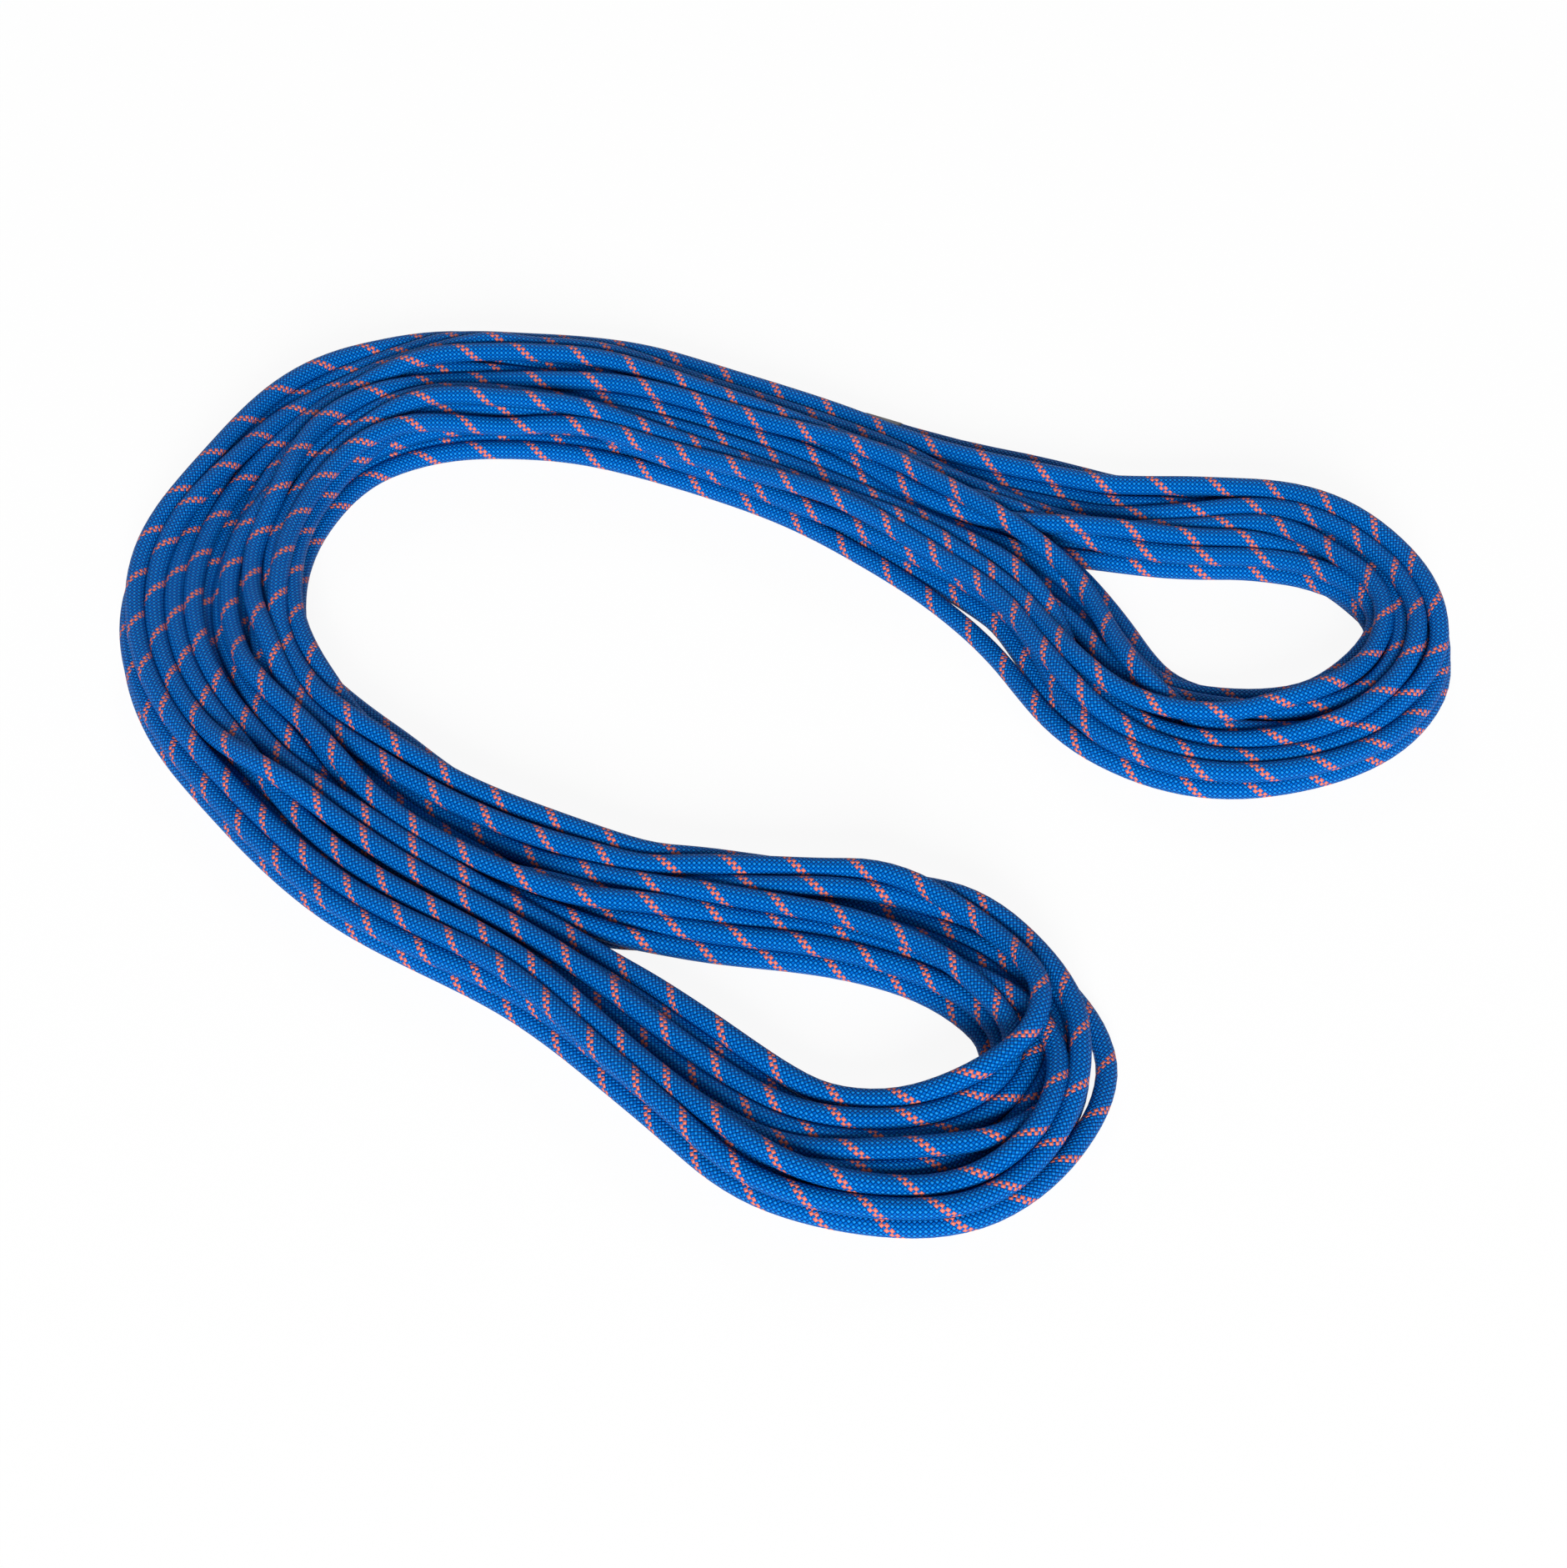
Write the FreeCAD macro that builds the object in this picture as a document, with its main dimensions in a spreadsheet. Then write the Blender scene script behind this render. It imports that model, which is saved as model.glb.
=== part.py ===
import FreeCAD, Part
import math
import os

import Sketcher

# A dynamic climbing rope, 9.5 mm thick and about 37 m long, coiled into one long closed skein of
# fourteen turns that lies on a flat surface in the shape of a C with an open eye at each end.
# The frame: +X along the skein's width, +Y across its depth, +Z up, and the origin in the middle
# of the surface that it lies on.
#
# The coiled rope is a chain of spans, each with the outer shape of its stretch of the skein.
# Both ends of the rope lie free behind the top run as plain tubes, and the last stretch of each
# end is made of the pieces that a kernmantle rope has: sheath, core strands, identification tape,
# end sleeve and fused tip.

doc = FreeCAD.newDocument("climbing_rope")
sheet = doc.addObject("Spreadsheet::Sheet", "dims")

SIZES = [
    ("hank_width", 642.0),
    ("hank_depth", 578.0),
    ("rope_diameter", 9.5),
    ("sheath_wall", 0.8),
    ("tape_thickness", 0.12),
    ("tape_width", 2.4),
    ("core_clearance", 0.05),
    ("strand_gap", 0.02),
    ("end_length", 27.0),
    ("end_margin", 0.8),
    ("tip_thickness", 2.4),
    ("tip_edge_radius", 0.9),
    ("sleeve_length", 21.0),
    ("sleeve_wall", 0.2),
    ("sleeve_clearance", 0.05),
    ("tail_clearance", 0.25),
    ("side_flat", 1.0),
    ("crown_flat", 4.0),
    ("upper_near_width", 48.0),
    ("lower_far_width", 47.0),
]

# The stations of the skein. Each one is a cross-section that stands on the surface:
# x and y of its inner lower edge (the side of the opening that it goes round), the direction
# from there to its outer edge in degrees, its width to the outer edge, and its height.
PLAN_WIDTH = 642.0
PLAN_DEPTH = 578.0
BODY_STATIONS = [
    (52.0, 111.0, 64.5, 93.0, 27.0),
    (-5.0, 153.0, 65.7, 80.0, 30.0),
    (-85.0, 190.0, 72.2, 80.0, 32.0),
    (-133.0, 200.0, 90.0, 89.0, 33.0),
    (-178.0, 196.0, 102.7, 86.0, 33.0),
    (-210.0, 176.0, 133.2, 88.0, 33.0),
    (-230.0, 135.0, 158.6, 85.0, 31.0),
    (-234.0, 90.0, 180.0, 87.0, 29.0),
    (-223.0, 44.0, 195.6, 89.5, 28.0),
    (-196.0, 8.0, 215.1, 90.5, 28.0),
    (-140.0, -44.0, 226.7, 93.5, 27.0),
    (-63.0, -82.0, 240.7, 112.5, 25.0),
]
UPPER_EYE_STATIONS = [
    (147.0, 119.0, 67.3, 67.0, 25.0),
    (192.0, 110.0, 86.5, 66.0, 25.0),
    (238.0, 108.0, 82.9, 64.5, 25.0),
    (264.0, 90.0, 53.7, 56.0, 27.0),
    (279.0, 70.0, 5.4, 42.2, 31.0),
    (270.0, 46.0, -29.0, 53.7, 27.0),
    (246.0, 24.0, -61.1, 56.0, 25.0),
    (208.0, 22.0, -99.2, 63.0, 23.0),
    (178.0, 46.0, -127.4, 69.0, 21.0),
    (146.0, 113.0, -131.6, 71.0, 21.0),
]
LOWER_EYE_STATIONS = [
    (-22.0, -186.0, -130.8, 58.0, 25.0),
    (8.0, -213.0, -111.1, 61.0, 24.0),
    (38.0, -223.0, -90.0, 66.0, 22.0),
    (62.0, -221.0, -71.0, 67.5, 22.0),
    (80.0, -212.0, -43.6, 58.0, 23.0),
    (87.0, -198.0, -5.1, 56.0, 24.0),
    (84.0, -184.0, 33.0, 51.5, 25.0),
    (62.0, -162.0, 62.4, 52.0, 25.0),
    (22.0, -146.0, 90.0, 53.0, 24.0),
    (-38.0, -139.0, 86.6, 51.0, 24.0),
]
STATION_FIELDS = ("x", "y", "angle", "width", "height")
CHAINS = [
    ("body", BODY_STATIONS),
    ("upper", UPPER_EYE_STATIONS),
    ("lower", LOWER_EYE_STATIONS),
]

# The stations where the two free ends leave the skein: behind the top run, at the skein's outer
# edge, where the span on one side is narrower by the rope that lies beside it.
SEAT_A = "body_3"
SEAT_B = "upper_0"

# The routes of the free ends: the tip and the first corner. The last two points follow from the
# seat: a straight run of LEAD_IN into the seat's face.
ROUTE_A = [(12.1, 239.5), (-38.0, 264.5)]
ROUTE_B = [(38.8, 227.8), (83.8, 206.3)]
LEAD_IN_A = 41.0
LEAD_IN_B = 42.0
RUN_SHARE = 0.45

INNER_STRANDS = 3
OUTER_STRANDS = 9

# Formulas over the sheet's cells.
TAIL_STEP = "(dims.rope_diameter + 2 * dims.tail_clearance)"
BORE_RADIUS = "(dims.rope_diameter / 2 - dims.sheath_wall)"
CORE_RADIUS = f"({BORE_RADIUS} - dims.tape_thickness - 2 * dims.core_clearance)"
# Three strands in the middle and nine round them all fit when the strand's radius is this share
# of the core's: one outer strand's width and the reach of the inner three.
STRAND_SHARE = 1 / (2 + 1 + 1 / math.sin(math.radians(60)))
STRAND_RADIUS = f"({CORE_RADIUS} * {STRAND_SHARE:.6f} - dims.strand_gap)"
INNER_RING = f"(({STRAND_RADIUS} + dims.strand_gap) / sin(60))"
OUTER_RING = f"({CORE_RADIUS} - {STRAND_RADIUS})"


def fill_sheet():
    """Write every driving size into the sheet, one named cell each, and return them by name."""
    rows = list(SIZES)
    for chain, stations in CHAINS:
        for number, station in enumerate(stations):
            for field, value in zip(STATION_FIELDS, station):
                rows.append((f"{chain}_{number}_{field}", value))
    for row, (name, value) in enumerate(rows, start=1):
        sheet.set(f"A{row}", name)
        sheet.set(f"B{row}", str(value))
        sheet.setAlias(f"B{row}", name)
    doc.recompute()
    return {name: float(sheet.get(name)) for name, _ in rows}


size = fill_sheet()
rope_radius = size["rope_diameter"] / 2
sleeve_radius = rope_radius + size["sleeve_clearance"] + size["sleeve_wall"]
tail_step = size["rope_diameter"] + 2 * size["tail_clearance"]


def direction(angle):
    return FreeCAD.Vector(math.cos(math.radians(angle)), math.sin(math.radians(angle)), 0)


def station_point(station, reach=0.0):
    """A point on the station's lower edge, reach millimetres outwards of its inner edge."""
    inner = FreeCAD.Vector(
        size[station + "_x"] * size["hank_width"] / PLAN_WIDTH,
        size[station + "_y"] * size["hank_depth"] / PLAN_DEPTH,
        0,
    )
    return inner + direction(size[station + "_angle"]) * reach


def section(name, station, width, shift="0", turn=0):
    """A closed cross-section of the skein: flat below, rope-round at its lower corners and wide
    round shoulders above. It starts shift outwards of the station's inner edge, and turn of 180
    makes it run back from there."""
    sketch = doc.addObject("Sketcher::SketchObject", name)
    w = 60.0
    h = 25.0
    low = 4.0
    top = 15.0
    edges = [
        ((low, 0), (w - low, 0)),
        ((w, low), (w, h - top)),
        ((w - top, h), (top, h)),
        ((0, h - top), (0, low)),
    ]
    for start, end in edges:
        sketch.addGeometry(Part.LineSegment(FreeCAD.Vector(*start, 0), FreeCAD.Vector(*end, 0)))
    corners = [
        (w - low, low, low, 1.5, 2.0),
        (w - top, h - top, top, 0.0, 0.5),
        (top, h - top, top, 0.5, 1.0),
        (low, low, low, 1.0, 1.5),
    ]
    for x, y, radius, begin, finish in corners:
        circle = Part.Circle(FreeCAD.Vector(x, y, 0), FreeCAD.Vector(0, 0, 1), radius)
        sketch.addGeometry(Part.ArcOfCircle(circle, begin * math.pi, finish * math.pi))
    for line in range(4):
        arc = 4 + line
        following = (line + 1) % 4
        sketch.addConstraint(Sketcher.Constraint("Tangent", line, 2, arc, 1))
        sketch.addConstraint(Sketcher.Constraint("Tangent", arc, 2, following, 1))
    sketch.addConstraint(Sketcher.Constraint("Horizontal", 0))
    sketch.addConstraint(Sketcher.Constraint("Vertical", 1))
    sketch.addConstraint(Sketcher.Constraint("Horizontal", 2))
    sketch.addConstraint(Sketcher.Constraint("Vertical", 3))
    sketch.addConstraint(Sketcher.Constraint("Equal", 4, 7))
    sketch.addConstraint(Sketcher.Constraint("Equal", 5, 6))
    sketch.addConstraint(Sketcher.Constraint("PointOnObject", 0, 1, -1))
    sketch.addConstraint(Sketcher.Constraint("PointOnObject", 3, 1, -2))
    side_room = f"dims.{station}_height - dims.rope_diameter / 2 - dims.side_flat"
    crown_room = f"({width} - dims.crown_flat) / 2"
    sizes = {
        "low_radius": (Sketcher.Constraint("Radius", 4, low), "dims.rope_diameter / 2"),
        "top_radius": (Sketcher.Constraint("Radius", 5, top), f"min({side_room}; {crown_room})"),
        "height": (Sketcher.Constraint("DistanceY", 0, 1, 2, 2, h), f"dims.{station}_height"),
        "width": (Sketcher.Constraint("DistanceX", 3, 1, 1, 1, w), width),
    }
    for label, (constraint, formula) in sizes.items():
        sketch.addConstraint(constraint)
        sketch.renameConstraint(sketch.ConstraintCount - 1, label)
        sketch.setExpression("Constraints." + label, formula)
    angle = f"dims.{station}_angle"
    plan_x = f"dims.{station}_x * dims.hank_width / {PLAN_WIDTH}"
    plan_y = f"dims.{station}_y * dims.hank_depth / {PLAN_DEPTH}"
    sketch.Placement = FreeCAD.Placement(
        FreeCAD.Vector(0, 0, 0), FreeCAD.Rotation(size[station + "_angle"] + turn, 0, 90)
    )
    sketch.setExpression("Placement.Base.x", f"{plan_x} + ({shift}) * cos({angle})")
    sketch.setExpression("Placement.Base.y", f"{plan_y} + ({shift}) * sin({angle})")
    return sketch


def span(name, first, second):
    """One stretch of the skein: a ruled solid between two cross-sections."""
    loft = doc.addObject("Part::Loft", name)
    loft.Label = name
    loft.Sections = [first, second]
    loft.Solid = True
    loft.Ruled = True
    loft.Linearize = True
    return loft


def plain_section(station):
    return section("section_" + station, station, f"dims.{station}_width")


def narrow_section(station):
    return section("narrow_" + station, station, f"dims.{station}_width - {TAIL_STEP}")


def body_spans():
    """The C: the top run, the left bend and the lower run, where both sides of the skein lie
    together."""
    names = ["top_run_1", "top_run_2", "top_run_3"]
    names += ["left_bend_1", "left_bend_2", "left_bend_3", "left_bend_4", "left_bend_5"]
    names += ["lower_run_1", "lower_run_2", "lower_run_3"]
    sections = [plain_section(f"body_{number}") for number in range(len(BODY_STATIONS))]
    seat = int(SEAT_A.split("_")[1])
    narrow_seat = narrow_section(SEAT_A)
    spans = []
    for number, name in enumerate(names):
        end = narrow_seat if number + 1 == seat else sections[number + 1]
        spans.append(span("hank_" + name, sections[number], end))
    return spans


def upper_eye_spans():
    """The open eye at the end of the top run, clockwise from its far arm."""
    near = "dims.upper_near_width"
    start = section("upper_far_start", "body_0", f"dims.body_0_width - {near}", shift=near)
    finish = section("upper_near_end", "body_0", near, shift=near, turn=180)
    sections = [plain_section(f"upper_{n}") for n in range(len(UPPER_EYE_STATIONS))]
    spans = [span("hank_upper_eye_1", start, narrow_section(SEAT_B))]
    for number in range(len(sections) - 1):
        spans.append(span(f"hank_upper_eye_{number + 2}", sections[number], sections[number + 1]))
    spans.append(span(f"hank_upper_eye_{len(sections) + 1}", sections[-1], finish))
    return spans


def lower_eye_spans():
    """The open eye at the end of the lower run, counterclockwise from its near arm."""
    crotch = f"body_{len(BODY_STATIONS) - 1}"
    far = "dims.lower_far_width"
    sections = [section("lower_near_start", crotch, f"dims.{crotch}_width - {far}", shift=far)]
    sections += [plain_section(f"lower_{n}") for n in range(len(LOWER_EYE_STATIONS))]
    sections.append(section("lower_far_end", crotch, far, shift=far, turn=180))
    pairs = zip(sections, sections[1:])
    return [span(f"hank_lower_eye_{n}", a, b) for n, (a, b) in enumerate(pairs, start=1)]


def seat_point(station):
    """The centre of the rope where it meets the seat's face, just outside the narrow span."""
    reach = size[station + "_width"] - tail_step + size["tail_clearance"] + rope_radius
    point = station_point(station, reach)
    point.z = sleeve_radius
    return point


def tail_route(points, station, lead_in, heading):
    """The route of one free end: its chosen points and the straight run into its seat. The tip
    stands further out where the built-up end needs a longer straight run."""
    tip, corner = [FreeCAD.Vector(x, y, sleeve_radius) for x, y in points]
    straight_run = size["end_length"] / (1 - RUN_SHARE) + size["end_margin"]
    first_run = max((tip - corner).Length, straight_run)
    tip = corner + (tip - corner).normalize() * first_run
    seat = seat_point(station)
    approach = seat - direction(size[station + "_angle"] + heading) * lead_in
    return [tip, corner, approach, seat]


def tangent_path(route, skipped):
    """Straight runs joined by tangent arcs, each as large as its two runs allow. The path leaves
    out the first skipped millimetres of the route."""
    edges = []
    radii = []
    start = route[0] + (route[1] - route[0]).normalize() * skipped
    for before, corner, after in zip(route, route[1:], route[2:]):
        incoming = (corner - before).normalize()
        outgoing = (after - corner).normalize()
        trim = RUN_SHARE * min((corner - before).Length, (after - corner).Length)
        turn = incoming.getAngle(outgoing)
        radius = trim / math.tan(turn / 2)
        radii.append(radius)
        enter = corner - incoming * trim
        leave = corner + outgoing * trim
        inward = (outgoing - incoming).normalize()
        middle = corner + inward * (radius / math.cos(turn / 2) - radius)
        edges.append(Part.LineSegment(start, enter).toShape())
        edges.append(Part.Arc(enter, middle, leave).toShape())
        start = leave
    edges.append(Part.LineSegment(start, route[-1]).toShape())
    return Part.Wire(edges), radii


def tail(name, route):
    """A plain round tube from the end of the built-up stretch to the seat."""
    wire, radii = tangent_path(route, size["end_length"])
    inward = (route[1] - route[0]).normalize()
    path = doc.addObject("Part::Feature", name + "_path")
    path.Shape = wire
    profile = doc.addObject("Part::Circle", name + "_profile")
    profile.setExpression("Radius", "dims.rope_diameter / 2")
    profile.Placement = FreeCAD.Placement(
        route[0] + inward * size["end_length"],
        FreeCAD.Rotation(FreeCAD.Vector(0, 0, 1), inward),
    )
    sweep = doc.addObject("Part::Sweep", name)
    sweep.Label = name
    sweep.Sections = [profile]
    sweep.Spine = (path, [f"Edge{number + 1}" for number in range(len(wire.Edges))])
    sweep.Solid = True
    print(name, "bend radii in diameters", [round(r / size["rope_diameter"], 1) for r in radii])
    print(name, "route", [tuple(round(value, 1) for value in point) for point in route])
    return sweep, wire.Length


def end_placement(route):
    """The frame of one rope end: origin on the tip's outer face, +Z into the rope."""
    inward = (route[1] - route[0]).normalize()
    return FreeCAD.Placement(route[0], FreeCAD.Rotation(FreeCAD.Vector(0, 0, 1), inward))


def body_plane(body, role):
    return next(item for item in body.Origin.OriginFeatures if item.Role == role)


def body_sketch(body, role):
    sketch = body.newObject("Sketcher::SketchObject", body.Name + "_sketch")
    sketch.AttachmentSupport = [(body_plane(body, role), "")]
    sketch.MapMode = "FlatFace"
    return sketch


def centred_circle(sketch, label, formula):
    circle = Part.Circle(FreeCAD.Vector(0, 0, 0), FreeCAD.Vector(0, 0, 1), 1.0)
    edge = sketch.addGeometry(circle)
    sketch.addConstraint(Sketcher.Constraint("Coincident", edge, 3, -1, 1))
    sketch.addConstraint(Sketcher.Constraint("Radius", edge, 1.0))
    sketch.renameConstraint(sketch.ConstraintCount - 1, label)
    sketch.setExpression("Constraints." + label, formula)


def ring_body(name, outer, inner, length, start, place):
    """A round tube along the rope's axis, padded from start millimetres inside the tip."""
    body = doc.addObject("PartDesign::Body", name)
    body.Label = name
    sketch = body_sketch(body, "XY_Plane")
    centred_circle(sketch, "outer", outer)
    centred_circle(sketch, "inner", inner)
    sketch.setExpression(".AttachmentOffset.Base.z", start)
    pad = body.newObject("PartDesign::Pad", name + "_pad")
    pad.Profile = sketch
    pad.setExpression("Length", length)
    sketch.Visibility = False
    body.Placement = place
    return body


def tip_body(name, place):
    """The fused tip: a disc of melted rope with a rounded outer edge."""
    body = doc.addObject("PartDesign::Body", name)
    body.Label = name
    sketch = body_sketch(body, "XY_Plane")
    centred_circle(sketch, "outer", "dims.rope_diameter / 2")
    pad = body.newObject("PartDesign::Pad", name + "_pad")
    pad.Profile = sketch
    pad.setExpression("Length", "dims.tip_thickness")
    doc.recompute()
    rim = [
        f"Edge{number}"
        for number, edge in enumerate(pad.Shape.Edges, start=1)
        if edge.Closed and abs(edge.CenterOfMass.z) < 1e-6
    ]
    fillet = body.newObject("PartDesign::Fillet", name + "_round")
    fillet.Base = (pad, rim)
    fillet.setExpression("Radius", "dims.tip_edge_radius")
    body.Placement = place
    return body


def core_strand(number, ring, angle, places):
    """One core strand: it runs through the whole rope and shows as a straight rod at each end."""
    rods = []
    for end, place in places.items():
        rod = doc.addObject("Part::Cylinder", f"strand_{number:02d}_{end}")
        rod.setExpression("Radius", STRAND_RADIUS)
        rod.setExpression("Height", "dims.end_length - dims.tip_thickness")
        holder = doc.addObject("Part::Compound", f"strand_{number:02d}_{end}_place")
        holder.Links = [rod]
        rod.setExpression("Placement.Base.x", f"{ring} * cos({angle})")
        rod.setExpression("Placement.Base.y", f"{ring} * sin({angle})")
        rod.setExpression("Placement.Base.z", "dims.tip_thickness")
        holder.Placement = place
        rods.append(holder)
    name = f"core_strand_{number:02d}"
    strand = doc.addObject("Part::Compound", name)
    strand.Label = name
    strand.Links = rods
    return strand


def core_strands(places):
    strands = []
    for number in range(INNER_STRANDS):
        angle = 90 + number * 360 / INNER_STRANDS
        strands.append(core_strand(number + 1, INNER_RING, angle, places))
    for number in range(OUTER_STRANDS):
        angle = 90 + number * 360 / OUTER_STRANDS
        order = INNER_STRANDS + number + 1
        strands.append(core_strand(order, OUTER_RING, angle, places))
    return strands


def tape_shape():
    """The identification tape: a thin strip that lies curved between the core and the sheath."""
    outer = rope_radius - size["sheath_wall"] - size["core_clearance"]
    inner = outer - size["tape_thickness"]
    spread = math.degrees(size["tape_width"] / outer)
    length = size["end_length"] - size["tip_thickness"]
    base = FreeCAD.Vector(0, 0, size["tip_thickness"])
    axis = FreeCAD.Vector(0, 0, 1)
    outside = Part.makeCylinder(outer, length, base, axis, spread)
    inside = Part.makeCylinder(inner, length, base, axis, 360)
    return outside.cut(inside)


def identification_tape(places):
    strips = []
    for end, place in places.items():
        strip = doc.addObject("Part::Feature", f"tape_{end}")
        strip.Shape = tape_shape()
        strip.Placement = place
        strips.append(strip)
    tape = doc.addObject("Part::Compound", "identification_tape")
    tape.Label = "identification_tape"
    tape.Links = strips
    return tape


def rope_end(letter, place):
    """The sheath, the sleeve over it and the fused tip of one rope end."""
    sheath = ring_body(
        f"sheath_end_{letter}",
        "dims.rope_diameter / 2",
        BORE_RADIUS,
        "dims.end_length - dims.tip_thickness",
        "dims.tip_thickness",
        place,
    )
    sleeve = ring_body(
        f"end_sleeve_{letter}",
        "dims.rope_diameter / 2 + dims.sleeve_clearance + dims.sleeve_wall",
        "dims.rope_diameter / 2 + dims.sleeve_clearance",
        "dims.sleeve_length",
        "dims.tip_thickness",
        place,
    )
    return [sheath, sleeve, tip_body(f"fused_tip_{letter}", place)]


def build():
    nodes = body_spans() + upper_eye_spans() + lower_eye_spans()
    route_a = tail_route(ROUTE_A, SEAT_A, LEAD_IN_A, 90)
    route_b = tail_route(ROUTE_B, SEAT_B, LEAD_IN_B, -90)
    tail_a, length_a = tail("tail_a", route_a)
    tail_b, length_b = tail("tail_b", route_b)
    nodes += [tail_a, tail_b]
    places = {"a": end_placement(route_a), "b": end_placement(route_b)}
    for letter, place in places.items():
        nodes += rope_end(letter, place)
    nodes += core_strands(places)
    nodes.append(identification_tape(places))
    doc.recompute()
    for tube, length in ((tail_a, length_a), (tail_b, length_b)):
        ratio = tube.Shape.Volume / (math.pi * rope_radius ** 2 * length)
        print(tube.Label, "volume over section times length", round(ratio, 5))
    return nodes


def check(nodes):
    for item in doc.Objects:
        if "Invalid" in item.State or "Error" in item.State:
            raise RuntimeError(f"{item.Label} did not recompute: {item.State}")
    for node in nodes:
        if node.Shape.isNull() or not node.Shape.isValid() or node.Shape.Volume <= 0:
            raise RuntimeError(f"{node.Label} has no valid shape")


def export(nodes):
    os.makedirs("parts", exist_ok=True)
    for node in nodes:
        node.Shape.exportStep(f"parts/{node.Label}.step")
    print(len(nodes), "sub-parts written")


nodes = build()
check(nodes)
export(nodes)
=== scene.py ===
"""The looks of a coiled climbing rope: one long braided cord laid in a hank with two eyes."""

import bpy
import math
import numpy as np
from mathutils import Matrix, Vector


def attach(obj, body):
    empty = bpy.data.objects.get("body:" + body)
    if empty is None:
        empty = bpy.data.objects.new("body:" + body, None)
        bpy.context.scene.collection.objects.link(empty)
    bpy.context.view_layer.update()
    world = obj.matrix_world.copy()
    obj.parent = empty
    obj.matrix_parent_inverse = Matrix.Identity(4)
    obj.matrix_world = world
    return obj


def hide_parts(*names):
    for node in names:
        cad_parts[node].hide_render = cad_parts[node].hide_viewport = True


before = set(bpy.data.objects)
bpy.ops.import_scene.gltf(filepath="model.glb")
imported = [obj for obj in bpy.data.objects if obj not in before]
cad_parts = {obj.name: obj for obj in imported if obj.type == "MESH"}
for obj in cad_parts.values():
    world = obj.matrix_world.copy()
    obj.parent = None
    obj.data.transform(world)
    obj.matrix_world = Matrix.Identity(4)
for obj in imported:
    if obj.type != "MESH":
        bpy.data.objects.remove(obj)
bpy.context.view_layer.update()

# ---------------------------------------------------------------- camera
CAMERA_PLACE = (0.0, -1.141, 1.174)
CAMERA_TILT = 43.5      # in degrees, from looking straight down
FOCAL_LENGTH = 79.43    # this and the sensor's width are in millimetres
SENSOR_WIDTH = 36.0

camera_data = bpy.data.cameras.new("camera")
camera_data.lens = FOCAL_LENGTH
camera_data.sensor_width = SENSOR_WIDTH
camera = bpy.data.objects.new("camera", camera_data)
camera.location = CAMERA_PLACE
camera.rotation_euler = (math.radians(CAMERA_TILT), 0.0, 0.0)
bpy.context.scene.collection.objects.link(camera)
bpy.context.scene.camera = camera

# ---------------------------------------------------------------- the rope's sizes, in metres
DIAMETER = 0.0095
RADIUS = DIAMETER / 2

# The hank's stations: its inner edge (x, y), the direction from there to its outer edge in degrees,
# and its width, all on the floor and in metres. They are part.py's, moved to follow the
# photograph: the inner edge by up to 7 mm and the width by up to 15 mm.
BODY = [
    (0.052, 0.111, 64.5, 0.0915),
    (-0.005, 0.153, 65.7, 0.080),
    (-0.085, 0.19, 72.2, 0.082),
    (-0.133, 0.2, 90.0, 0.079),
    (-0.1781, 0.1965, 102.7, 0.079),
    (-0.2107, 0.1767, 133.2, 0.075),
    (-0.2309, 0.1354, 158.6, 0.075),
    (-0.2345, 0.09, 180.0, 0.0875),
    (-0.2234, 0.0441, 195.6, 0.0895),
    (-0.1952, 0.0084, 215.1, 0.092),
    (-0.1363, -0.0402, 226.7, 0.103),
    (-0.064, -0.0837, 240.7, 0.1055),
]
UPPER_EYE = [
    (0.147, 0.119, 67.3, 0.057),
    (0.192, 0.11, 86.5, 0.0645),
    (0.238, 0.108, 82.9, 0.054),
    (0.2658, 0.0924, 53.7, 0.0415),
    (0.283, 0.0702, 5.4, 0.0355),
    (0.2717, 0.045, -29.0, 0.0487),
    (0.2446, 0.0266, -61.1, 0.057),
    (0.209, 0.0285, -99.2, 0.069),
    (0.1786, 0.0468, -127.4, 0.07),
    (0.145, 0.1119, -131.6, 0.0735),
]
LOWER_EYE = [
    (-0.0239, -0.1882, -130.8, 0.0555),
    (0.008, -0.213, -111.1, 0.0635),
    (0.038, -0.2225, -90.0, 0.0665),
    (0.0615, -0.2196, -71.0, 0.0695),
    (0.0791, -0.211, -43.6, 0.0605),
    (0.087, -0.198, -5.1, 0.0585),
    (0.083, -0.1846, 33.0, 0.055),
    (0.0613, -0.1633, 62.4, 0.0545),
    (0.022, -0.1475, 90.0, 0.0545),
    (-0.038, -0.1405, 86.6, 0.0545),
]
# The rope's two ends, from the tip to where each joins the hank, as in part.py.
TAIL_A = [
    (0.0121, 0.2395, 0.005),
    (-0.0380, 0.2645, 0.005),
    (-0.0920, 0.2840, 0.005),
    (-0.1330, 0.2840, 0.005),
]
TAIL_B = [
    (0.0388, 0.2278, 0.005),
    (0.0838, 0.2063, 0.005),
    (0.1322, 0.1924, 0.005),
    (0.1709, 0.1762, 0.005),
]

# ---------------------------------------------------------------- the ring that each turn follows
# A turn goes down the outer half of the body, round the lower eye, back up the inner half of the
# body and round the upper eye.
BODY_START = 3      # the body station where a turn starts, and where end A comes in
MIX = 0.10          # how far each half reaches over the body's middle, as a share of its width
SPLIT = {5: 0.02, 6: -0.05, 7: -0.06, 8: -0.05, 9: 0.0, 11: -0.03}  # the same, where they part
MIDDLE_ROOM = 0.5   # how far past its limit at the middle a strand may go, as a share of its half


def station_edges(station, left_share, right_share):
    """The left and right limits of a strand's centre at a station, as shares of its width."""
    x, y, angle, width = station
    along = np.array([math.cos(math.radians(angle)), math.sin(math.radians(angle))])
    room = width - DIAMETER
    start = np.array([x, y]) + along * RADIUS
    return start + along * room * left_share, start + along * room * right_share


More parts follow.
